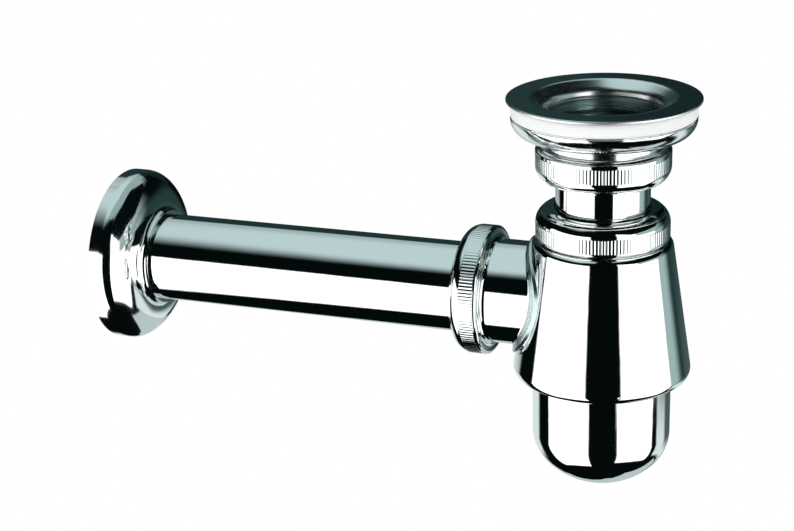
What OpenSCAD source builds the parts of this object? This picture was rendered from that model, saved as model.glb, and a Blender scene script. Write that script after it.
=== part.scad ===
// Chrome basin trap: a dished waste, a bottle with a screw-off cup, a wall tube and its rosette.
// Origin: centre of the waste, in the plane where its flange clamps the basin. +Z up, wall towards -X.

/* [Tubes] */
// Outside diameter of the inlet tube and of the wall tube
tube_d = 32; // [31.5:0.1:40]
// Wall thickness of both tubes
tube_t = 1; // [0.7:0.1:1.4]
// Length of the inlet tube that shows between its two nuts
tube_show = 8.1; // [8:0.1:20]
// Depth of the inlet tube's open end below the cup's straight part
tube_dip = 3; // [0:0.5:3.5]
// Thickness of the collar rolled on the inlet tube's top
collar_t = 1.2; // [1:0.1:1.6]
// Radius of the bend between the tube and its collar
collar_bend_r = 1; // [0.6:0.1:1.2]

/* [Threads and union nuts] */
// Distance from the tube's outside to the crests of the parallel pipe thread
thread_over = 4.95; // [4.5:0.05:5.5]
// Depth of the thread
thread_depth = 0.95; // [0.6:0.05:1.2]
// Thickness of a union nut outside the thread
nut_over = 1.85; // [1.6:0.05:2.5]
// Height of a union nut
nut_h = 11.8; // [11.4:0.1:13]
// Radius of the nut's rounded shoulder
nut_shoulder_r = 8; // [7.5:0.5:10]
// Width of the flat land round the tube, where the shoulder starts
nut_land = 1.2; // [1:0.1:1.8]
// Thickness of the nut's end wall
nut_end_t = 2; // [1.8:0.1:2.4]
// Height of the knurled band
knurl_h = 5; // [4.5:0.1:5.4]
// Depth of the knurl's grooves
knurl_depth = 0.45; // [0.3:0.05:0.6]
// Number of teeth round the knurl
knurl_teeth = 120; // [90:2:140]
// Height of the plain lip at the nut's open end
nut_lip_h = 1; // [0.8:0.1:1.4]
// Width of the groove between that lip and the knurl
nut_groove = 0.4; // [0.2:0.1:0.6]
// Bevel on the lip's edge
nut_bevel = 0.4; // [0.2:0.1:0.5]

/* [Waste] */
// Diameter of the flange that shows in the basin
flange_d = 65; // [60:0.5:70]
// Thickness of the flange at its rim
flange_t = 1; // [0.8:0.1:1.6]
// Wall of the tail at the throat's mouth
mouth_wall = 0.95; // [0.9:0.05:1.5]
// Radius of the rolled edge at the throat's mouth
mouth_bend_r = 1.5; // [0.8:0.1:2]
// Width of the dish, from the throat's mouth to the flat of the flange
dish_w = 5.5; // [5:0.1:6]
// Radius of the soft bend where the flange turns down into the dish
dish_bend_r = 5; // [2:0.5:6]
// Slope of the dish, in degrees below level
dish_slope = 34; // [30:1:38]
// Wall of the threaded tail, from its bore to the thread's crests
tail_wall = 2.75; // [2.4:0.05:3.2]
// Depth below the clamping plane where the throat becomes straight
seat_depth = 8; // [7:0.5:10]
// Length of the threaded tail below the clamping plane
tail_len = 21.8; // [20.8:0.1:22.8]
// Height of the lower thread that shows above the upper nut
thread_show = 1.1; // [0.4:0.1:1.6]
// Thickness of the white gasket under the flange
gasket_t = 5.2; // [4:0.1:5.4]
// Distance that the gasket and the back nut stay inside the flange's rim
gasket_inset = 1.5; // [1:0.1:3]
// Radius of the gasket's rounded edges
gasket_edge_r = 0.8; // [0.4:0.1:1.2]
// Height of the back nut, from the gasket to its lower face
back_nut_h = 6.3; // [6:0.1:6.6]
// Height of the upright band at the back nut's rim
back_nut_band = 0.7; // [0.5:0.1:1.5]

/* [Seals] */
// Thickness of the flat washer between the tail and the collar
washer_t = 2; // [1.6:0.1:2.2]
// Thickness of the plastic slip rings under the nuts
slip_t = 1.2; // [1:0.1:1.4]
// Height of the rubber gaskets that grip the tubes
grip_h = 4; // [3.5:0.1:4.4]
// Height of the gasket's tapered nose
grip_nose = 1.6; // [1.2:0.1:2]
// Thickness of the cup's gasket
cup_gasket_t = 1.5; // [1.2:0.1:1.8]

/* [Bottle] */
// Distance from the crests of the top thread out to the bottle's side under its shoulder
bottle_over = 3.15; // [3:0.05:4]
// Widening of the bottle's side from its shoulder to its foot
bottle_flare = 6.5; // [5:0.1:8]
// Radius of the shoulder at the bottle's top
bottle_shoulder_r = 2.4; // [2:0.1:3]
// Radius of the rounded edge at the bottle's foot
bottle_foot_r = 3; // [2:0.1:4]
// Wall thickness of the bottle
bottle_t = 1.2; // [1:0.1:1.6]
// Gap between the top nut's lip and the bottle's top
lip_gap = 0.4; // [0.2:0.1:1]
// Wall of the collar by which the socket sits inside the bottle
socket_step = 1; // [0.8:0.1:1.2]
// Depth of the socket inside the bottle
socket_down = 4; // [3:0.1:4.4]

/* [Cup] */
// Distance that the cup's side stays inside the bottle's foot
cup_inset = 6.6; // [5.8:0.1:8]
// Wall thickness of the cup
cup_t = 1.2; // [1:0.1:1.6]
// Wall thickness of the cup's threaded neck
cup_neck_t = 2; // [1.8:0.1:2.4]
// Length of the straight part that shows under the bottle
cup_straight = 21.4; // [18:0.2:24]
// Height of the rounded bottom
dome_h = 18.9; // [17:0.1:20]
// Radius where the rounded bottom leaves the straight side
dome_side_r = 15; // [13:0.5:16]
// Wall of the threaded ring that carries the cup
ring_t = 2.1; // [1.8:0.1:2.4]
// Thickness of that ring's inner shoulder
ring_shoulder_t = 1.6; // [1.2:0.1:2]

/* [Outlet] */
// Wall of the outlet spigot
spigot_t = 2.25; // [2:0.05:3]
// Width of the saddle plate round the spigot
saddle_w = 2.7; // [2:0.1:3.5]
// Thickness of the saddle plate
saddle_t = 1; // [0.8:0.1:1.4]
// Distance from the bottle's top down to the saddle plate
saddle_top_gap = 1.9; // [1.5:0.1:6]
// Distance from the saddle plate down to the bottle's foot
saddle_foot_gap = 5.2; // [4:0.1:12]
// Distance from the bottle's foot edge out to the side nut's open end
side_nut_gap = 7.8; // [7:0.1:12]
// Length of the threaded head inside the side nut
head_len = 6; // [5.5:0.1:6.4]

/* [Wall side] */
// Distance from the bottle's axis to the wall
wall_x = 183.3; // [150:0.1:250]
// Gap inside the bottle between the inlet tube and the wall tube's end
tube_gap = 10; // [9:0.1:11]
// Distance that the wall tube ends short of the wall
tube_short = 2; // [1:0.5:4]
// Diameter of the rosette
rosette_d = 63.6; // [60:0.2:70]
// Height of the upright band at the rosette's rim
rosette_band = 4; // [3:0.1:5]
// Height of the rosette's dome above the wall
rosette_dome = 13.7; // [12.5:0.1:15]
// Radius of the rosette's outer shoulder
rosette_edge_r = 7; // [6.5:0.1:8]
// Wall of the rosette's neck round the tube
rosette_neck_t = 1.35; // [1.1:0.05:1.8]
// Radius of the hollow curve between the neck and the dome
rosette_fillet = 1.9; // [1.4:0.1:2.5]
// Height of the neck above the wall
rosette_neck_h = 16.5; // [16:0.1:18]
// Thickness of the rosette's metal
rosette_t = 1; // [0.8:0.1:1.2]

/* [Clearances] */
// Radial clearance of a thread or of a sliding tube
running = 0.05; // [0.02:0.01:0.08]
// Radial clearance round loose rings and in plain holes
loose = 0.3; // [0.2:0.05:0.4]

/* [Hidden] */
$fn = 96;

// Radii, each built out from the tube
tube_r = tube_d / 2;
tube_hole_r = tube_r + loose;
thread_r = tube_r + thread_over;
thread_bore_r = thread_r + running;
nut_r = thread_r + nut_over;
nut_land_r = tube_r + nut_land;
// Crests of the knurl, a hair inside the plain bands
crest_r = nut_r - 0.03;
collar_r = thread_r - running - 0.6;
spigot_r = tube_r + running + spigot_t;
saddle_r = spigot_r + saddle_w;
neck_r = thread_r - thread_depth;
throat_r = thread_r - tail_wall;
mouth_r = thread_r - mouth_wall;
dish_r = mouth_r + dish_w;
flange_r = flange_d / 2;
rim_round = flange_t * 0.4;
gasket_r = flange_r - gasket_inset;
bottle_top_r = thread_r + bottle_over;
foot_r = bottle_top_r + bottle_flare;
cup_r = foot_r - cup_inset;
cup_ring_r = cup_r + running + ring_t;
rosette_r = rosette_d / 2;
rosette_neck_r = tube_r + running + rosette_neck_t;
crest_x = rosette_neck_r + rosette_fillet;

// Heights, counted from the clamping plane
back_nut_z = -gasket_t - back_nut_h;
neck_start = back_nut_z + 1;
washer_z = -tail_len - washer_t;
collar_z = washer_z - collar_t;
upper_slip_z = collar_z - slip_t;
upper_nut_z = upper_slip_z - nut_end_t;
upper_nut_top = upper_nut_z + nut_h;
neck_end = upper_nut_top + thread_show;
top_nut_top = upper_nut_z - tube_show;
bottle_top = top_nut_top - nut_h - lip_gap;
grip_top = top_nut_top - nut_end_t - slip_t;
socket_top = grip_top - grip_h + grip_nose;
outlet_z = bottle_top - saddle_top_gap - saddle_r;
bottle_foot = outlet_z - saddle_r - saddle_foot_gap;
ring_top = outlet_z - tube_r - loose * 2;
cup_top = ring_top - ring_shoulder_t - cup_gasket_t;
cup_turn = bottle_foot - cup_straight;
tube_end_z = cup_turn - tube_dip;

// Places along the outlet, counted from the bottle's axis
tube_in_x = tube_r + tube_gap;
side_nut_x = foot_r + side_nut_gap;
head_face = side_nut_x + nut_h - nut_end_t - slip_t - grip_h + grip_nose;
wall_tube_out = wall_x - tube_short;

// Points of the dish: the end of its outer bend, the start of the rolled mouth, and the roll's centre
bend_end = [dish_r - dish_bend_r * sin(dish_slope), flange_t - dish_bend_r * (1 - cos(dish_slope))];
roll_x = mouth_r + mouth_bend_r;
roll_start_x = roll_x - mouth_bend_r * sin(dish_slope);
roll_start_z = bend_end[1] - (bend_end[0] - roll_start_x) * tan(dish_slope);
mouth_z = roll_start_z - mouth_bend_r * cos(dish_slope);
under_z = -(dish_r - thread_r) * tan(dish_slope);

// Half angle of the bottle's cone
bottle_lean = atan(bottle_flare / (bottle_top - bottle_foot - bottle_shoulder_r - bottle_foot_r));

// Flat ring with its lower face at z
module flat_ring(outer_r, inner_r, z, h) {
    translate([0, 0, z]) difference() {
        cylinder(r = outer_r, h = h);
        translate([0, 0, -1]) cylinder(r = inner_r, h = h + 2);
    }
}

// Half disc to the right of the profile's axis
module disc(r, x, y) {
    translate([x, y]) circle(r = r);
}

// Outer part of a disc between two directions, for a rounded edge of a profile
module arc_cap(r, x, y, from, to) {
    mid = (from + to) / 2;
    deep = r - min(0.3, r / 3);
    wide = 2 * r / cos((to - from) / 2);
    intersection() {
        disc(r, x, y);
        polygon([for (p = [[from, deep], [from, 2 * r], [mid, wide], [to, 2 * r], [to, deep]])
            [x + p[1] * cos(p[0]), y + p[1] * sin(p[0])]]);
    }
}

// Turns a piece made along +Z so that it runs along -X from the bottle at the outlet's height
module along_outlet(from = 0) {
    translate([-from, 0, outlet_z]) rotate([0, -90, 0]) children();
}

// Ring of straight teeth, cut as one star-shaped outline
module knurl(z) {
    step = 360 / knurl_teeth;
    outline = [for (i = [0 : knurl_teeth - 1], side = [0, 1])
        let (a = (i + side / 2) * step, r = side == 0 ? crest_r : nut_r - knurl_depth)
            [r * cos(a), r * sin(a)]];
    translate([0, 0, z]) linear_extrude(height = knurl_h) polygon(outline);
}

// Union nut with its open end at z = 0 and its rounded shoulder at the top
module union_nut() {
    knurl_z = nut_lip_h + nut_groove;
    knurl_top = knurl_z + knurl_h;
    core_r = nut_r - knurl_depth - 0.1;
    shoulder_run = nut_r - nut_land_r;
    shoulder_z = nut_h - nut_shoulder_r + sqrt(pow(nut_shoulder_r, 2) - pow(shoulder_run, 2));
    difference() {
        union() {
            rotate_extrude() {
                // Lip and the core behind the knurl
                polygon([[0, 0], [nut_r - nut_bevel, 0], [nut_r, nut_bevel], [nut_r, nut_lip_h],
                         [core_r, nut_lip_h], [core_r, knurl_top],
                         [0, knurl_top]]);
                translate([0, knurl_top]) square([nut_r, shoulder_z - knurl_top]);
                square([nut_land_r, nut_h]);
                intersection() {
                    disc(nut_shoulder_r, nut_land_r, nut_h - nut_shoulder_r);
                    translate([nut_land_r, knurl_top]) square([shoulder_run, nut_h - knurl_top]);
                }
            }
            knurl(knurl_z);
        }
        translate([0, 0, -1]) cylinder(r = thread_bore_r, h = nut_h - nut_end_t + 1);
        translate([0, 0, -1]) cylinder(r = tube_hole_r, h = nut_h + 2);
        translate([0, 0, -1]) cylinder(r1 = thread_bore_r + nut_bevel + 1, r2 = thread_bore_r - 1,
                                       h = nut_bevel + 2);
    }
}

// Rubber gasket with a tapered nose, nose down, on the socket's mouth at z = 0
module grip_gasket() {
    outer = thread_r - loose * 3;
    inner = tube_r + running;
    rotate_extrude() difference() {
        polygon([[0, -grip_nose], [outer - grip_nose, -grip_nose], [outer, 0],
                 [outer, grip_h - grip_nose], [0, grip_h - grip_nose]]);
        translate([0, -grip_nose - 1]) square([inner, grip_h + 2]);
    }
}

// Space for the gasket's nose in a mouth whose face is at z = 0
module nose_seat() {
    outer = thread_r - loose * 2.5;
    rotate_extrude() polygon([[0, -grip_nose - loose], [outer - grip_nose - loose, -grip_nose - loose],
                              [outer, 0], [outer, 1], [0, 1]]);
}

module slip_ring(z) {
    flat_ring(thread_r - loose, tube_hole_r, z, slip_t);
}

module waste_flange() {
    color("silver") rotate_extrude() {
        polygon([[thread_r, -tail_len], [thread_r, neck_end], [neck_r, neck_end],
                 [neck_r, neck_start], [thread_r, neck_start], [thread_r, under_z], [dish_r, 0],
                 [flange_r, 0], [flange_r, flange_t - rim_round], [flange_r - rim_round, flange_t],
                 [dish_r, flange_t], bend_end, [roll_start_x, roll_start_z],
                 [mouth_r, mouth_z], [throat_r, -seat_depth], [throat_r, -tail_len]]);
        arc_cap(rim_round, flange_r - rim_round, flange_t - rim_round, 0, 90);
        arc_cap(dish_bend_r, dish_r, flange_t - dish_bend_r, 90, 90 + dish_slope);
        arc_cap(mouth_bend_r, roll_x, mouth_z, 90 + dish_slope, 180);
    }
}

module waste_gasket() {
    hole_r = thread_r + loose;
    color("whitesmoke") rotate_extrude() {
        // Countersunk hole that clears the flange's dish
        polygon([[hole_r, under_z - loose], [hole_r, -gasket_t], [gasket_r - gasket_edge_r, -gasket_t],
                 [gasket_r, gasket_edge_r - gasket_t], [gasket_r, -gasket_edge_r],
                 [gasket_r - gasket_edge_r, 0], [dish_r + loose * 2, 0]]);
        arc_cap(gasket_edge_r, gasket_r - gasket_edge_r, -gasket_edge_r, 0, 90);
        arc_cap(gasket_edge_r, gasket_r - gasket_edge_r, gasket_edge_r - gasket_t, -90, 0);
    }
}

module back_nut() {
    bowl_r = back_nut_h - back_nut_band;
    band_z = -gasket_t - back_nut_band;
    bevel = back_nut_band / 2;
    color("silver") rotate_extrude() {
        polygon([[thread_bore_r, back_nut_z], [gasket_r - bowl_r, back_nut_z], [gasket_r, band_z],
                 [gasket_r, -gasket_t - bevel], [gasket_r - bevel, -gasket_t],
                 [thread_bore_r, -gasket_t]]);
        arc_cap(bowl_r, gasket_r - bowl_r, band_z, -90, 0);
    }
}

module tail_washer() {
    color("dimgray") flat_ring(collar_r, throat_r - 1, washer_z, washer_t);
}

module inlet_tube() {
    bend_x = tube_r + collar_bend_r;
    color("silver") rotate_extrude() difference() {
        union() {
            translate([tube_r - tube_t, tube_end_z]) square([tube_t, collar_z + collar_t - tube_end_z]);
            translate([tube_r - tube_t, collar_z]) square([collar_r - tube_r + tube_t, collar_t]);
        }
        // Rounded lead-in at the top of the bore
        difference() {
            translate([0, collar_z + collar_t - collar_bend_r]) square([tube_r, collar_bend_r + 1]);
            disc(collar_bend_r, bend_x - tube_t, collar_z + collar_t - collar_bend_r);
            translate([bend_x - tube_t, collar_z]) square([tube_r, collar_t]);
        }
    }
}

module upper_slip_ring() {
    color("white") slip_ring(upper_slip_z);
}

module upper_nut() {
    color("silver") translate([0, 0, upper_nut_top]) rotate([180, 0, 0]) union_nut();
}

module top_gasket() {
    color("dimgray") translate([0, 0, socket_top]) grip_gasket();
}

module top_slip_ring() {
    color("white") slip_ring(grip_top);
}

module top_nut() {
    color("silver") translate([0, 0, top_nut_top - nut_h]) union_nut();
}

// Radius of the bottle's conical side at a height
function cone_r(z) = foot_r - bottle_foot_r + bottle_foot_r / cos(bottle_lean)
    - (z - bottle_foot - bottle_foot_r) * tan(bottle_lean);

// Solid of the bottle's outside, drawn in by inset
module bottle_form(inset) {
    shoulder = bottle_shoulder_r - inset;
    edge = bottle_foot_r - inset;
    shoulder_x = bottle_top_r - bottle_shoulder_r;
    shoulder_z = bottle_top - bottle_shoulder_r;
    edge_x = foot_r - bottle_foot_r;
    edge_z = bottle_foot + bottle_foot_r;
    rotate_extrude() {
        polygon([[0, edge_z - edge], [edge_x, edge_z - edge],
                 [edge_x + edge * cos(bottle_lean), edge_z + edge * sin(bottle_lean)],
                 [shoulder_x + shoulder * cos(bottle_lean), shoulder_z + shoulder * sin(bottle_lean)],
                 [shoulder_x, shoulder_z + shoulder], [0, shoulder_z + shoulder]]);
        arc_cap(shoulder, shoulder_x, shoulder_z, bottle_lean, 90);
        arc_cap(edge, edge_x, edge_z, -90, bottle_lean);
    }
}

module top_socket() {
    mouth = socket_top;
    floor_z = bottle_top - bottle_t;
    color("silver") difference() {
        union() {
            translate([0, 0, floor_z - socket_down]) cylinder(r = thread_r, h = mouth - floor_z + socket_down);
            translate([0, 0, floor_z - socket_down]) cylinder(r = thread_r + socket_step, h = socket_down);
        }
        translate([0, 0, floor_z - socket_down - 1]) cylinder(r = tube_hole_r, h = mouth - floor_z + nut_h);
        translate([0, 0, mouth]) nose_seat();
    }
}

module bottle_body() {
    color("silver") difference() {
        bottle_form(0);
        bottle_form(bottle_t);
        translate([0, 0, bottle_top - bottle_t - 1]) cylinder(r = thread_r, h = bottle_t + 2);
        translate([0, 0, bottle_foot - 1]) cylinder(r = cup_ring_r, h = bottle_t + 2);
        along_outlet() cylinder(r = spigot_r, h = foot_r * 2);
    }
}

module cup_ring() {
    color("silver") difference() {
        translate([0, 0, bottle_foot]) cylinder(r = cup_ring_r, h = ring_top - bottle_foot);
        translate([0, 0, bottle_foot - 1]) cylinder(r = cup_r + running, h = ring_top - ring_shoulder_t
                                                    - bottle_foot + 1);
        translate([0, 0, bottle_foot]) cylinder(r = cup_r - cup_neck_t, h = ring_top - bottle_foot + 1);
    }
}

module outlet_spigot() {
    band = saddle_t / cos(bottle_lean);
    low = outlet_z - saddle_r - 1;
    high = outlet_z + saddle_r + 1;
    color("silver") difference() {
        union() {
            // Tube, flush with the inside of the bottle's wall
            difference() {
                along_outlet() cylinder(r = spigot_r, h = head_face);
                bottle_form(bottle_t);
            }
            along_outlet(head_face - head_len) cylinder(r = thread_r, h = head_len);
            // Saddle plate that hugs the bottle's cone
            intersection() {
                rotate_extrude() polygon([[cone_r(low), low], [cone_r(low) + band, low],
                                          [cone_r(high) + band, high], [cone_r(high), high]]);
                along_outlet(spigot_r / 2) cylinder(r = saddle_r, h = foot_r * 2);
            }
        }
        along_outlet() cylinder(r = tube_r + running, h = head_face + 1);
        along_outlet(head_face) nose_seat();
    }
}

module side_gasket() {
    color("dimgray") along_outlet(head_face) grip_gasket();
}

module side_slip_ring() {
    color("white") along_outlet(head_face) slip_ring(grip_h - grip_nose);
}

module side_nut() {
    color("silver") along_outlet(side_nut_x) union_nut();
}

module wall_tube() {
    color("silver") along_outlet(tube_in_x)
        flat_ring(tube_r, tube_r - tube_t, 0, wall_tube_out - tube_in_x);
}

// Solid of the rosette's dome on the wall, drawn in by inset
module dome_form(inset) {
    edge_x = rosette_r - rosette_edge_r;
    run = rosette_r - crest_x;
    rise = rosette_dome - rosette_band;
    // Radius of the face's arc, tangent to the shoulder and level at the crest
    face_r = (run * run + rise * rise - 2 * run * rosette_edge_r) / (2 * (rise - rosette_edge_r));
    face_y = rosette_dome - face_r;
    far = 2 * face_r;
    slope = [edge_x - crest_x, rosette_band - face_y];
    square([rosette_r - inset, rosette_band]);
    square([crest_x, rosette_dome - inset]);
    disc(rosette_edge_r - inset, edge_x, rosette_band);
    intersection() {
        disc(face_r - inset, crest_x, face_y);
        polygon([[crest_x, face_y], [crest_x, far], [crest_x + slope[0] * far, face_y + slope[1] * far]]);
    }
    polygon([[0, 0], [edge_x, 0], [edge_x, rosette_band], [crest_x, face_y + face_r - inset],
             [0, rosette_dome - inset]]);
}

module rosette() {
    fillet = rosette_fillet;
    color("silver") along_outlet(wall_x) mirror([0, 0, 1]) rotate_extrude() intersection() {
        difference() {
            union() {
                dome_form(0);
                square([rosette_neck_r, rosette_neck_h]);
                // Hollow curve from the crest up to the neck
                difference() {
                    translate([rosette_neck_r, rosette_dome - rosette_t])
                        square([fillet, fillet + rosette_t]);
                    disc(fillet, crest_x, rosette_dome + fillet);
                }
            }
            dome_form(rosette_t);
            translate([-1, -1]) square([tube_r + running + 1, rosette_neck_h + 2]);
            // Open back
            translate([0, -rosette_d]) square([rosette_d, rosette_d]);
        }
        square([rosette_d, rosette_neck_h]);
    }
}

module cup_gasket() {
    color("dimgray") flat_ring(cup_r - loose, cup_r - cup_neck_t, cup_top, cup_gasket_t);
}

// Solid of the cup's outside, drawn in by inset
module cup_form(inset, r, top) {
    side_x = cup_r - dome_side_r;
    // Radius of the crown's arc, tangent to the side's arc and level at the bottom
    crown_r = (cup_r * cup_r + dome_h * dome_h - 2 * cup_r * dome_side_r) / (2 * (dome_h - dome_side_r));
    crown_z = cup_turn - dome_h + crown_r;
    far = 2 * crown_r;
    slope = [side_x, cup_turn - crown_z];
    translate([0, cup_turn]) square([r, top - cup_turn]);
    intersection() {
        disc(dome_side_r - inset, side_x, cup_turn);
        translate([0, cup_turn - dome_h]) square([cup_r, dome_h]);
    }
    intersection() {
        disc(crown_r - inset, 0, crown_z);
        polygon([[0, crown_z], [slope[0] * far, crown_z + slope[1] * far], [0, -far * crown_r]]);
    }
    polygon([[0, cup_turn], [side_x, cup_turn], [0, crown_z]]);
}

module cup() {
    color("silver") rotate_extrude() difference() {
        cup_form(0, cup_r, cup_top);
        cup_form(cup_t, cup_r - cup_t, bottle_foot);
        translate([0, bottle_foot - 1]) square([cup_r - cup_neck_t, cup_top - bottle_foot + 2]);
    }
}

waste_flange();
waste_gasket();
back_nut();
tail_washer();
inlet_tube();
upper_slip_ring();
upper_nut();
top_gasket();
top_slip_ring();
top_nut();
top_socket();
bottle_body();
cup_ring();
outlet_spigot();
side_gasket();
side_slip_ring();
side_nut();
wall_tube();
rosette();
cup_gasket();
cup();
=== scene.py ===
"""The looks of the basin trap: chromed brass, rubber and plastic finishes, a white studio and the camera."""

import math

import bmesh
import bpy
from mathutils import Matrix, Vector


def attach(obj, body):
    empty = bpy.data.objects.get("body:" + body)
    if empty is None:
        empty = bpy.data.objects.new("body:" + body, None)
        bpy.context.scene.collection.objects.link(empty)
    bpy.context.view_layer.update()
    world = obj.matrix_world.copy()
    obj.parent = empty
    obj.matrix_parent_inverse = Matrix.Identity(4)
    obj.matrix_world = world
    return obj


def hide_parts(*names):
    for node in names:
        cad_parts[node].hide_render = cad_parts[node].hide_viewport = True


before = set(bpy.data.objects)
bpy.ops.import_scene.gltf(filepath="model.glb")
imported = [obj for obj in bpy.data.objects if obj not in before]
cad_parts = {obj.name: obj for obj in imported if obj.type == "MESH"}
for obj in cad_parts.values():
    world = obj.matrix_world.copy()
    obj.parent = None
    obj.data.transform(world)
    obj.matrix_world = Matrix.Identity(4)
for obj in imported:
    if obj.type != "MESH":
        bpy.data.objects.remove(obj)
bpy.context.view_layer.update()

MM = 0.001

# Camera, in metres in the part's own frame
CAMERA_PLACE = Vector((0.13969, -0.54936, 0.14872))
CAMERA_RIGHT = Vector((0.93490, 0.35356, -0.03109))
CAMERA_UP = Vector((-0.09372, 0.33042, 0.93918))
CAMERA_LENS = 79.62
SENSOR_WIDTH = 36

# Studio
FLOOR_HEIGHT = -0.62
FLOOR_SIDE = 9
TENT_RADIUS = 3
CAMERA_AZIMUTH = -75.7  # degrees, from the trap's upright axis to the camera

# Sizes that the turned pieces share, in mm as in the part's source
THREAD_R = 20.95
THREAD_BORE_R = 21
THREAD_PITCH = 2.309
NUT_R = 22.8
FLANGE_R = 32.5
GASKET_R = 31
NECK_R = 20
THROAT_R = 18.2
DISH_R = 23.97  # where the dish's slope would meet the flat rim
SPIGOT_R = 18.3

# Heights on the waste, in mm above the flange's underside
FLANGE_TOP = 1
MOUTH_HEIGHT = -1.6
THROAT_START = -8  # where the throat becomes straight
NECK_TOP, NECK_END = -10.5, -15.3
TAIL_END = -21.8

# Where the union nuts' open ends are, in mm up from the flange's underside or out along the outlet
UPPER_NUT_MOUTH = -16.4
TOP_NUT_MOUTH = -48.1
SIDE_NUT_MOUTH = 38.4
OUTLET_HEIGHT = -71.4


class Field:
    """A shader socket. Its operators add Math nodes to the tree it belongs to."""

    def __init__(self, shader, socket):
        self.shader = shader
        self.socket = socket

    def math(self, operation, *others):
        values = dict(enumerate((self, *others)))
        return self.shader.node("ShaderNodeMath", {"operation": operation}, values)

    def __add__(self, other):
        return self.math("ADD", other)

    def __sub__(self, other):
        return self.math("SUBTRACT", other)

    def __rsub__(self, other):
        return self.math("MULTIPLY_ADD", -1, other)

    def __mul__(self, other):
        return self.math("MULTIPLY", other)

    def __truediv__(self, other):
        return self.math("DIVIDE", other)

    def __lt__(self, other):
        return self.math("LESS_THAN", other)

    __radd__ = __add__
    __rmul__ = __mul__

    def ramp(self, low, high):
        """0 up to low, 1 from high on, and a soft step between."""
        return self.shader.node(
            "ShaderNodeMapRange",
            {"interpolation_type": "SMOOTHSTEP"},
            {"Value": self, "From Min": low, "From Max": high},
        )

    def beyond(self, middle, reach):
        """How far the value lies more than reach from middle, and 0 nearer than that."""
        return ((self - middle).math("ABSOLUTE") - reach).math("MAXIMUM", 0)

    def band(self, low, high, edge):
        """1 between low and high, with a soft edge at both."""
        return self.ramp(low - edge, low + edge) * (1 - self.ramp(high - edge, high + edge))


class Shader:
    """The node tree of a material or of the world."""

    def __init__(self, owner):
        owner.use_nodes = True
        self.owner = owner
        self.tree = owner.node_tree
        self.tree.nodes.clear()

    def node(self, kind, settings, values, output=0):
        """Adds a node: its settings first, then the value or link of each socket."""
        made = self.tree.nodes.new(kind)
        for name, setting in settings.items():
            setattr(made, name, setting)
        for key, value in values.items():
            if isinstance(value, Field):
                self.tree.links.new(value.socket, made.inputs[key])
            else:
                made.inputs[key].default_value = value
        return Field(self, made.outputs[output])

    def place(self):
        """The point on the piece, in metres in its own frame, which for a CAD node is the trap's."""
        return self.node("ShaderNodeTexCoord", {}, {}, "Object")

    def split(self, vector):
        """The three numbers of a vector."""
        parts = self.node("ShaderNodeSeparateXYZ", {}, {"Vector": vector})
        return [Field(self, socket) for socket in parts.socket.node.outputs]

    def turned(self, vector):
        """The radius from the piece's upright axis, and the height along it."""
        x, y, z = self.split(vector)
        return (x * x + y * y).math("SQRT"), z

    def noise(self, vector, scale, detail=2):
        return self.node("ShaderNodeTexNoise", {}, {"Vector": vector, "Scale": scale, "Detail": detail})

    def lines(self, distance, scale):
        """Fine uneven lines that follow one distance only, as a tool or a brush leaves them."""
        values = {"W": distance, "Scale": scale, "Detail": 2}
        return self.node("ShaderNodeTexNoise", {"noise_dimensions": "1D"}, values)

    def bump(self, height, distance, over=None):
        """Relief of a height times a distance in metres, on top of an earlier bump if there is one."""
        values = {"Height": height, "Distance": distance, "Strength": 1}
        if over:
            values["Normal"] = over
        return self.node("ShaderNodeBump", {}, values)

    def mix(self, factor, under, over):
        """One colour laid over another."""
        return self.node(
            "ShaderNodeMix",
            {"data_type": "RGBA", "clamp_factor": True},
            {0: factor, 6: under, 7: over},
            2,
        )

    def blend(self, factor, first, second):
        return self.node("ShaderNodeMixShader", {}, {0: factor, 1: first, 2: second})

    def surface(self, values):
        return self.node("ShaderNodeBsdfPrincipled", {}, values)

    def glow(self, colour):
        return self.node("ShaderNodeEmission", {}, {"Color": colour, "Strength": 1})

    def finish(self, closure, kind="ShaderNodeOutputMaterial"):
        """Links the closure to the tree's output and hands back what the tree belongs to."""
        output = self.tree.nodes.new(kind)
        self.tree.links.new(closure.socket, output.inputs["Surface"])
        return self.owner

    def plate(self, colour, roughness, normal):
        """Finishes a metal material."""
        values = {"Base Color": colour, "Metallic": 1, "Roughness": roughness, "Normal": normal}
        return self.finish(self.surface(values))


def new_shader(name):
    return Shader(bpy.data.materials.new(name))


def paint(material, *nodes):
    """Gives CAD nodes a finish through their objects' own material slots."""
    for name in nodes:
        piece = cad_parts[name]
        for slot in piece.material_slots:
            slot.link = "OBJECT"
            slot.material = material


# Meshes of the turned pieces

FLAT_BESIDE_ARC = 0.02  # mm


def rounded(corners, steps=5):
    """An outline of (radius, height, rounding) corners, each corner turned into an arc."""
    outline = []
    for i, (r, h, rounding) in enumerate(corners):
        here = Vector((r, h))
        back = Vector(corners[i - 1][:2]) - here
        on = Vector(corners[(i + 1) % len(corners)][:2]) - here
        if not rounding:
            outline.append(here)
            continue
        half = back.angle(on) / 2
        back.normalize()
        on.normalize()
        start = here + back * (rounding / math.tan(half))
        end = here + on * (rounding / math.tan(half))
        centre = here + (back + on).normalized() * (rounding / math.sin(half))
        # A short flat beside each end keeps the long faces' shading true
        outline.append(start + back * FLAT_BESIDE_ARC)
        for k in range(steps + 1):
            outline.append(centre + rounding * (start - centre).slerp(end - centre, k / steps))
        outline.append(end + on * FLAT_BESIDE_ARC)
    return outline


def quarter_arc(middle, reach_r, reach_h, start, step):
    """Corners on a quarter of an ellipse, from start degrees to 90, every step degrees."""
    middle_r, middle_h = middle
    angles = [math.radians(degree) for degree in range(start, 91, step)]
    return [(middle_r + reach_r * math.cos(a), middle_h + reach_h * math.sin(a), 0) for a in angles]


SHARP_EDGE = math.radians(48)


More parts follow.
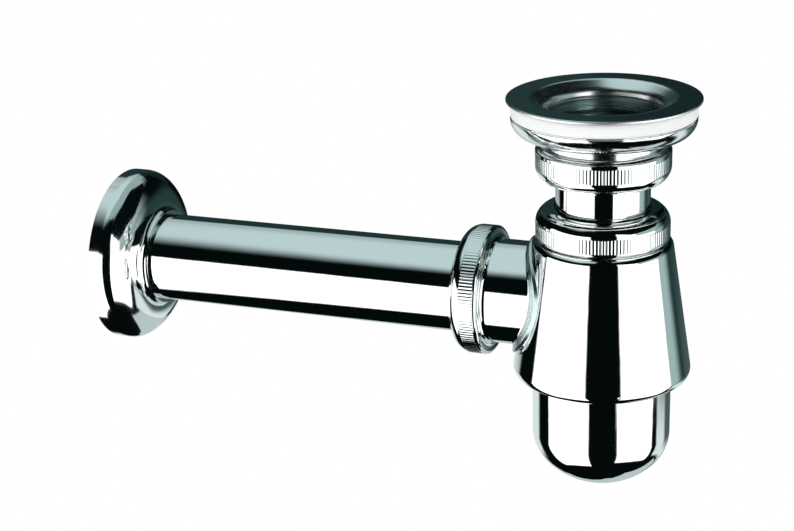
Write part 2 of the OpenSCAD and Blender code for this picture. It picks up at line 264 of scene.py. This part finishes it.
def ring_piece(name, section_at, steps, place=Matrix()):
    """A closed ring round local Z: the section at each angle is a loop of (radius, height) in mm."""
    verts = []
    for i in range(steps):
        angle = 2 * math.pi * i / steps
        section = section_at(angle)
        verts += [(r * math.cos(angle) * MM, r * math.sin(angle) * MM, h * MM) for r, h in section]
    count = len(section)
    faces = []
    for i in range(steps):
        here, on = i * count, (i + 1) % steps * count
        for j in range(count):
            k = (j + 1) % count
            faces.append((here + j, on + j, on + k, here + k))
    mesh = bpy.data.meshes.new(name)
    mesh.from_pydata(verts, [], faces)
    shape = bmesh.new()
    shape.from_mesh(mesh)
    bmesh.ops.recalc_face_normals(shape, faces=shape.faces)
    shape.to_mesh(mesh)
    shape.free()
    mesh.shade_smooth()
    mesh.set_sharp_from_angle(angle=SHARP_EDGE)
    piece = bpy.data.objects.new(name, mesh)
    piece.matrix_world = place
    bpy.context.collection.objects.link(piece)
    return piece


def dress(piece, node, body, material):
    """Puts a piece in the place of a CAD node, on its body and with its finish."""
    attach(piece, body)
    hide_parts(node)
    piece.data.materials.append(material)


def stand(height):
    """The place of an upright piece whose open end is at this height."""
    return Matrix.Translation((0, 0, height * MM))


UPSIDE_DOWN = Matrix.Rotation(math.pi, 4, "X")
ALONG_OUTLET = stand(OUTLET_HEIGHT) @ Matrix.Rotation(-math.pi / 2, 4, "Y")


# Finishes

CHROME = (0.905, 0.925, 0.925, 1)
# Painted shade, a darker teal colour for the inside of the throat's recess.
THROAT_PAINTED_SHADE = (0.3, 0.43, 0.42, 1)
# Painted shade, a darker teal colour for the collar where the spigot meets the bottle.
COLLAR_PAINTED_SHADE = (0.56, 0.68, 0.67, 1)

POLISH = 0.035  # roughness of buffed chrome
PRESSED_POLISH = 0.08
TURNED_POLISH = 0.12
SPUN_POLISH = 0.06
MARK_SCALE = 38
WAVE_SCALE, WAVE_DEPTH = 95, 0.00004
THREAD_DEPTH = 0.0006


def finger_marks(shader, place):
    """The roughness that faint finger marks add to buffed chrome."""
    return shader.noise(place, MARK_SCALE, 4).ramp(0.45, 0.8) * 0.035


def chrome_plate(name, polish=POLISH, relief=None):
    """Polished chrome plate, with faint finger marks and the slight waves of buffed brass."""
    shader = new_shader(name)
    place = shader.place()
    normal = shader.bump(shader.noise(place, WAVE_SCALE, 1), WAVE_DEPTH)
    if relief:
        normal = shader.bump(relief(shader, place), THREAD_DEPTH, normal)
    return shader.plate(CHROME, polish + finger_marks(shader, place), normal)


def thread_relief(shader, place):
    """Helical grooves on everything that lies near the thread's radius."""
    x, y = shader.split(place)[:2]
    radius, z = shader.turned(place)
    turned = y.math("ARCTAN2", x) * (1 / (2 * math.pi))
    wave = ((z * (1 / (THREAD_PITCH * MM)) - turned) * (2 * math.pi)).math("SINE")
    return wave * radius.band((THREAD_R - 0.35) * MM, (THREAD_BORE_R + 0.3) * MM, 0.05 * MM)


THROAT_WALL_R = THROAT_R + 1.4  # outside every part of the throat's wall, inside the neck
DULL_START, DULL_END = -5, -3.6  # the throat's polish fades, and its painted shade comes in, between these heights
THREAD_START = NECK_END - 0.2
RING_SCALE, RING_DEPTH = 900, 0.0004


def flange_plate():
    """Chrome over turned brass that isn't buffed: duller on the rim's edge, finely ringed down the throat,
    and darkened there with painted shade.
    """
    shader = new_shader("flange_plate")
    place = shader.place()
    radius, z = shader.turned(place)
    inside = (radius < THROAT_WALL_R * MM) * (1 - z.ramp(DULL_START * MM, DULL_END * MM))
    above_neck = z.ramp(THROAT_START * MM, (THROAT_START + 1) * MM)
    dish = (1 - radius.ramp((DISH_R - 1.5) * MM, (DISH_R + 1) * MM)) * above_neck
    edge = radius.ramp((FLANGE_R - 0.35) * MM, (FLANGE_R - 0.05) * MM)
    on_tail = 1 - z.ramp(THREAD_START * MM, (THREAD_START + 0.5) * MM)
    marks = shader.noise(place, MARK_SCALE, 4)
    rings = shader.lines(z, RING_SCALE) * inside * RING_DEPTH
    thread = thread_relief(shader, place) * on_tail * THREAD_DEPTH
    return shader.plate(
        # painted shade: the throat's inside is given a darker teal colour
        shader.mix(inside, CHROME, THROAT_PAINTED_SHADE),
        TURNED_POLISH + marks * 0.06 + dish * 0.1 + inside * 0.05 + edge * 0.25,
        shader.bump(rings + thread, 1),
    )


COLLAR_START = SPIGOT_R + 0.2
COLLAR_END = 31  # along the outlet
BRUSH_SCALE, BRUSH_DEPTH = 2600, 0.0002


def spigot_plate():
    """Polished chrome on the outlet spigot, with the brushed collar where it is soldered to the bottle,
    darkened there with painted shade.
    """
    shader = new_shader("spigot_plate")
    place = shader.place()
    across, along = shader.turned(place)
    beside_bottle = 1 - along.ramp(COLLAR_END * MM, (COLLAR_END + 1) * MM)
    collar = across.ramp(COLLAR_START * MM, (COLLAR_START + 0.4) * MM) * beside_bottle
    return shader.plate(
        # painted shade: the collar at the joint is given a darker teal colour
        shader.mix(collar, CHROME, COLLAR_PAINTED_SHADE),
        POLISH + finger_marks(shader, place) + collar * 0.2,
        shader.bump(shader.lines(across, BRUSH_SCALE) * collar * BRUSH_DEPTH, 1),
    )


UNDERCUT = 0.3
SPUN_WAVE_SCALE, SPUN_WAVE_DEPTH = 260, 0.0001
SPUN_MARK_SCALE = 60


def bowl_plate():
    """Chrome on the thin spun bowl of the back nut: uneven, and a little undercut all round."""
    shader = new_shader("bowl_plate")
    place = shader.place()
    z = shader.split(place)[2]
    waves = shader.noise(place, SPUN_WAVE_SCALE) * SPUN_WAVE_DEPTH
    roughness = SPUN_POLISH + shader.noise(place, SPUN_MARK_SCALE, 4) * 0.1
    return shader.plate(CHROME, roughness, shader.bump(z * UNDERCUT + waves, 1))


GRAIN_SCALE, GRAIN_DEPTH = 900, 0.00006


def rubber(name, colour, roughness):
    """Moulded rubber or plastic, with the fine grain of its mould."""
    shader = new_shader(name)
    grain = shader.noise(shader.place(), GRAIN_SCALE, 3)
    normal = shader.bump(grain, GRAIN_DEPTH)
    values = {"Base Color": colour, "Roughness": roughness + grain * 0.12, "Normal": normal}
    return shader.finish(shader.surface(values))


chrome = chrome_plate("chrome_plate")
threaded_chrome = chrome_plate("threaded_chrome", relief=thread_relief)
pressed_chrome = chrome_plate("pressed_chrome", PRESSED_POLISH)
white_rubber = rubber("white_rubber", (0.84, 0.85, 0.85, 1), 0.5)
black_rubber = rubber("black_rubber", (0.02, 0.02, 0.021, 1), 0.55)
white_plastic = rubber("white_plastic", (0.8, 0.81, 0.8, 1), 0.3)

paint(chrome, "inlet_tube", "bottle_body", "wall_tube", "cup")
paint(pressed_chrome, "rosette")
paint(threaded_chrome, "top_socket", "cup_ring")
paint(white_rubber, "waste_gasket")
paint(black_rubber, "tail_washer", "top_gasket", "side_gasket", "cup_gasket")
paint(white_plastic, "upper_slip_ring", "top_slip_ring", "side_slip_ring")


# Union nuts, drawn with the open end at 0 and the closed end up

KNURL_TEETH = 120
STEPS_PER_TOOTH = 10
KNURL_ROOT_R = 22.69
KNURL_START, KNURL_END = 1.4, 6.4
KNURL_RUN_OUT = 0.25
LEAD_IN_R, LEAD_IN = 21.25, 0.3  # the bevel at the mouth of the thread
LIP_TOP = 1.3
GROOVE_R = 22.65
GROOVE_SLOPE = 0.1  # height of the groove's side next to the knurl
NUT_BORE_TOP = 9.8
NUT_HOLE_R = 16.3
DOME_R = 5.5
DOME_START = 5.75
DOME_TOP = DOME_START + DOME_R
DOME_ARC = quarter_arc((NUT_R - DOME_R, DOME_START), DOME_R, DOME_R, 10, 8)


def nut_outline(lip_round):
    """The nut's section between its ridges' crests, with the rounding of its open end."""
    return rounded([
        (THREAD_BORE_R, NUT_BORE_TOP, 0), (THREAD_BORE_R, LEAD_IN, 0), (LEAD_IN_R, 0, 0.1),
        (NUT_R, 0, lip_round), (NUT_R, LIP_TOP, 0), (GROOVE_R, KNURL_START, 0),
        (NUT_R, KNURL_START + GROOVE_SLOPE, 0),
        (NUT_R, KNURL_START + KNURL_RUN_OUT, 0), (NUT_R, KNURL_END - KNURL_RUN_OUT, 0),
        (NUT_R, KNURL_END - GROOVE_SLOPE, 0), (GROOVE_R, KNURL_END, 0), *DOME_ARC,
        (NUT_HOLE_R, DOME_TOP, 0.3), (NUT_HOLE_R, NUT_BORE_TOP, 0),
    ])


def knurled(outline):
    """The nut's section at each angle, with the radius of the knurled band going up and down."""
    def section_at(angle):
        ridge = abs(math.cos(KNURL_TEETH / 2 * angle))
        section = []
        for r, h in outline:
            if KNURL_START < h < KNURL_END:
                r = KNURL_ROOT_R + (r - KNURL_ROOT_R) * ridge
            section.append((r, h))
        return section
    return section_at


for nut_name, nut_body, nut_place, lip_round in (
    ("upper_nut", "upper_union", stand(UPPER_NUT_MOUTH) @ UPSIDE_DOWN, 0.5),
    ("top_nut", "top_union", stand(TOP_NUT_MOUTH), 1.2),
    ("side_nut", "side_union", ALONG_OUTLET @ stand(SIDE_NUT_MOUTH), 1.2),
):
    nut_section = knurled(nut_outline(lip_round))
    nut = ring_piece("knurled_" + nut_name, nut_section, KNURL_TEETH * STEPS_PER_TOOTH, nut_place)
    dress(nut, nut_name, nut_body, threaded_chrome)


# Waste flange and back nut, in the part's own heights

MOUTH_R = 20.1
UNDERSIDE_R = 25.5  # where the flange's flat underside starts
UNDERSIDE_SLOPE_END = -3.07
TURNED_STEPS = 360

WASTE_SECTION = rounded([
    (THREAD_R, TAIL_END, 0), (THREAD_R, NECK_END, 0), (NECK_R, NECK_END, 0), (NECK_R, NECK_TOP, 0),
    (THREAD_R, NECK_TOP, 0), (THREAD_R, UNDERSIDE_SLOPE_END, 0), (UNDERSIDE_R, 0, 0),
    (FLANGE_R, 0, 0.2), (FLANGE_R, FLANGE_TOP, 0.45), (DISH_R, FLANGE_TOP, 3),
    (MOUTH_R, MOUTH_HEIGHT, 3), (THROAT_R, THROAT_START, 2), (THROAT_R, TAIL_END, 0),
])
waste = ring_piece("turned_waste", lambda angle: WASTE_SECTION, TURNED_STEPS)
dress(waste, "waste_flange", "waste", flange_plate())

BOWL_R = 5.6
BOWL_RIM, BOWL_TOP, BOWL_FOOT = -5.2, -5.75, -11.5
RIM_R = GASKET_R - 0.5
BOWL_ARC = quarter_arc((GASKET_R - BOWL_R, BOWL_TOP), BOWL_R, BOWL_FOOT - BOWL_TOP, 0, 6)
BOWL_SECTION = rounded([
    (THREAD_BORE_R, BOWL_RIM, 0), (RIM_R, BOWL_RIM, 0), (RIM_R, BOWL_RIM - 0.2, 0),
    (GASKET_R - 0.05, BOWL_RIM - 0.35, 0), *BOWL_ARC, (THREAD_BORE_R, BOWL_FOOT, 0),
])
bowl = ring_piece("spun_bowl", lambda angle: BOWL_SECTION, TURNED_STEPS)
dress(bowl, "back_nut", "clamp_nut", bowl_plate())


# Outlet spigot with its saddle on the bottle's cone, drawn along the outlet from the bottle's axis

CONE_R = 27.18  # the bottle's cone at the outlet's height
CONE_SLOPE = 0.1487
BOTTLE_WALL = 1.2
SADDLE_R = 21
SADDLE_THICKNESS = 1.01
SADDLE_SINK, SPIGOT_SINK = 0.3, 0.6  # how far they reach into the bottle's wall
HEAD_START, HEAD_END = 38.6, 44.6
BORE_R = 16.05
SEAT_DEPTH = 1.9  # of the conical seat for the side gasket's nose
SEAT_R, SEAT_MOUTH_R = 18.3, 20.2
SEAT_START = HEAD_END - SEAT_DEPTH
SPIGOT_STEPS = 480


def spigot_section(angle):
    """The spigot's section at an angle from straight up, where it meets the round cone."""
    def cone_at(radius, outside):
        cone = CONE_R + outside - CONE_SLOPE * radius * math.cos(angle)
        return math.sqrt(cone ** 2 - (radius * math.sin(angle)) ** 2)

    return rounded([
        (BORE_R, cone_at(BORE_R, -BOTTLE_WALL), 0), (BORE_R, SEAT_START, 0), (SEAT_R, SEAT_START, 0),
        (SEAT_MOUTH_R, HEAD_END, 0), (THREAD_R, HEAD_END, 0.2), (THREAD_R, HEAD_START, 0.2),
        (SPIGOT_R, HEAD_START, 2),
        (SPIGOT_R, cone_at(SPIGOT_R, SADDLE_THICKNESS), 0.9),
        (SADDLE_R, cone_at(SADDLE_R, SADDLE_THICKNESS), 0.6),
        (SADDLE_R, cone_at(SADDLE_R, -SADDLE_SINK), 0), (SPIGOT_R, cone_at(SPIGOT_R, -SPIGOT_SINK), 0),
    ])


spigot = ring_piece("soldered_spigot", spigot_section, SPIGOT_STEPS, ALONG_OUTLET)
dress(spigot, "outlet_spigot", "bottle", spigot_plate())


# Studio

PURE_WHITE = (1, 1, 1, 1)
STUDIO_GREY = (0.6, 0.6, 0.6, 1)
WHITE_CARD = (1.6, 1.62, 1.62, 1)
PALE_CARD = (0.72, 0.82, 0.81, 1)
CEILING = (0.53, 0.67, 0.68, 1)
FAR_CEILING = (0.3, 0.41, 0.4, 1)
BACK_CEILING = (0.37, 0.46, 0.46, 1)
GREY_CARD = (0.36, 0.49, 0.475, 1)
DIM_CARD = (0.07, 0.105, 0.105, 1)
TEAL_WALL = (0.02, 0.046, 0.044, 1)
LEFT_WALL = (0.014, 0.034, 0.034, 1)
DARK_WALL = (0.007, 0.017, 0.018, 1)
BLACK_GAP = (0.0012, 0.0032, 0.003, 1)

# The tent's cards, later ones over earlier ones: azimuth from the camera's direction (towards the
# picture's right is positive) and elevation, both in degrees, the card's rounded corners and its soft edge.
TENT_CARDS = (
    # from, to, bottom, top, corner, edge, colour
    (-400, 400, 58, 130, 8, 8, FAR_CEILING),
    (126, 400, 34, 130, 16, 5, FAR_CEILING),
    (-400, -142, 30, 130, 16, 2, BACK_CEILING),
    (-400, -90, 46, 130, 14, 14, CEILING),
    (-400, -40, 51, 130, 12, 12, CEILING),
    (-400, -146, -5, 30, 3, 2, LEFT_WALL),
    (164, 400, 0, 31, 3, 2, DARK_WALL),
    (46, 112, 0, 37, 16, 16, GREY_CARD),
    (100, 160, -27, 4, 10, 10, TEAL_WALL),
    (88, 117, -26, 4, 9, 9, GREY_CARD),
    (106, 163, -41, -26, 4, 2, PALE_CARD),
    (132, 178, -32, -18, 5, 5, DIM_CARD),
    (-232, -127, -41, -18, 9, 5, PALE_CARD),
    (-97.2, -10, -58.8, 12.9, 9, 1.5, WHITE_CARD),
    (10, 97, -47, 4, 9, 1.5, WHITE_CARD),
    (94, 106, -50, -25.5, 3, 1.5, BLACK_GAP),
    (10, 57, -20, 38, 6, 3, WHITE_CARD),
    (-20, 24.5, -130, 60, 2, 1.5, BLACK_GAP),
    (-20, 27.5, -130, -26, 2, 1.5, BLACK_GAP),
)


def tent_material():
    """The inside of a photographer's tent: glowing white cards, dark gaps and a pale ceiling."""
    shader = new_shader("tent_cards")
    x, y, z = shader.split(shader.place())
    turn = math.radians(-CAMERA_AZIMUTH)
    ahead = x * math.cos(turn) - y * math.sin(turn)
    aside = x * math.sin(turn) + y * math.cos(turn)
    azimuth = aside.math("ARCTAN2", ahead) * math.degrees(1)
    elevation = (z / TENT_RADIUS).math("ARCSINE") * math.degrees(1)
    colour = BLACK_GAP
    for start, end, bottom, top, corner, edge, card in TENT_CARDS:
        across = azimuth.beyond((start + end) / 2, (end - start) / 2 - corner)
        upward = elevation.beyond((bottom + top) / 2, (top - bottom) / 2 - corner)
        outside = (across * across + upward * upward).math("SQRT").ramp(corner - edge, corner + edge)
        colour = shader.mix(outside, card, colour)
    return shader.finish(shader.glow(colour))


def floor_material():
    """A pale floor that the camera sees as plain white from above and not at all from below."""
    shader = new_shader("pale_floor")
    pale = shader.surface({"Base Color": (0.8, 0.8, 0.8, 1), "Roughness": 0.9})
    white = shader.glow(PURE_WHITE)
    seen = shader.node("ShaderNodeLightPath", {}, {}, "Is Camera Ray")
    below = shader.node("ShaderNodeNewGeometry", {}, {}, "Backfacing")
    clear = shader.node("ShaderNodeBsdfTransparent", {}, {})
    return shader.finish(shader.blend(below, shader.blend(seen, pale, white), clear))


def stage_piece(name, material):
    """Names the object that was just added for the studio and gives it its material."""
    piece = bpy.context.object
    piece.name = name
    piece.data.materials.append(material)
    return piece


bpy.ops.mesh.primitive_plane_add(size=FLOOR_SIDE, location=(0, 0, FLOOR_HEIGHT))
floor = stage_piece("floor", floor_material())
floor.visible_glossy = False

bpy.ops.mesh.primitive_uv_sphere_add(segments=96, ring_count=48, radius=TENT_RADIUS)
tent = stage_piece("tent", tent_material())
for polygon in tent.data.polygons:
    polygon.use_smooth = True

# A black flag over the waste's right half, which its dish and the top nut's shoulder reflect
FLAG_PLACE = (0.345, 0.02, 0.24)
FLAG_SIDE = 0.7
bpy.ops.mesh.primitive_plane_add(size=FLAG_SIDE, location=FLAG_PLACE)
flag_shader = new_shader("black_flag")
flag = stage_piece("flag", flag_shader.finish(flag_shader.glow(BLACK_GAP)))

# A pale card below and behind the tube, which the rosette's lower edge reflects
CARD_PLACE = (-0.05, 0.35, -0.5)
CARD_TURN = math.radians(59)
CARD_SIDES = (0.28, 0.56, 1)
CARD_GLOW = (0.5, 0.6, 0.59, 1)
bpy.ops.mesh.primitive_plane_add(size=1, location=CARD_PLACE, rotation=(0, 0, CARD_TURN))
card_shader = new_shader("pale_card")
card = stage_piece("card", card_shader.finish(card_shader.glow(CARD_GLOW)))
card.scale = CARD_SIDES

for hidden in (tent, flag, card):
    hidden.visible_camera = False
    hidden.visible_diffuse = False
    hidden.visible_shadow = False

world = bpy.data.worlds.new("studio")
bpy.context.scene.world = world
sky = Shader(world)
seen_white = sky.node("ShaderNodeLightPath", {}, {}, "Is Camera Ray")
sky_colour = sky.mix(seen_white, STUDIO_GREY, PURE_WHITE)
background = sky.node("ShaderNodeBackground", {}, {"Color": sky_colour, "Strength": 1})
sky.finish(background, "ShaderNodeOutputWorld")

# Soft lamps: name, place, side in metres, power in watts
SOFT_LAMPS = (
    ("lamp_left", (-1.2, -1.3, 0.9), 1.2, 22),
    ("lamp_right", (1.5, -0.6, 0.8), 1.2, 16),
)
for lamp_name, lamp_place, lamp_side, lamp_power in SOFT_LAMPS:
    lamp_data = bpy.data.lights.new(lamp_name, "AREA")
    lamp_data.size = lamp_side
    lamp_data.energy = lamp_power
    lamp = bpy.data.objects.new(lamp_name, lamp_data)
    lamp.location = lamp_place
    lamp.rotation_euler = (-Vector(lamp_place)).to_track_quat("-Z", "Y").to_euler()
    lamp.visible_glossy = False
    bpy.context.collection.objects.link(lamp)

# Camera

camera_data = bpy.data.cameras.new("camera")
camera_data.sensor_width = SENSOR_WIDTH
camera_data.lens = CAMERA_LENS
camera_data.clip_start = 0.01
camera = bpy.data.objects.new("camera", camera_data)
camera_turn = Matrix((CAMERA_RIGHT, CAMERA_UP, CAMERA_RIGHT.cross(CAMERA_UP))).transposed()
camera.matrix_world = Matrix.Translation(CAMERA_PLACE) @ camera_turn.to_4x4()
bpy.context.collection.objects.link(camera)
bpy.context.scene.camera = camera

bpy.context.scene.view_settings.view_transform = "Standard"
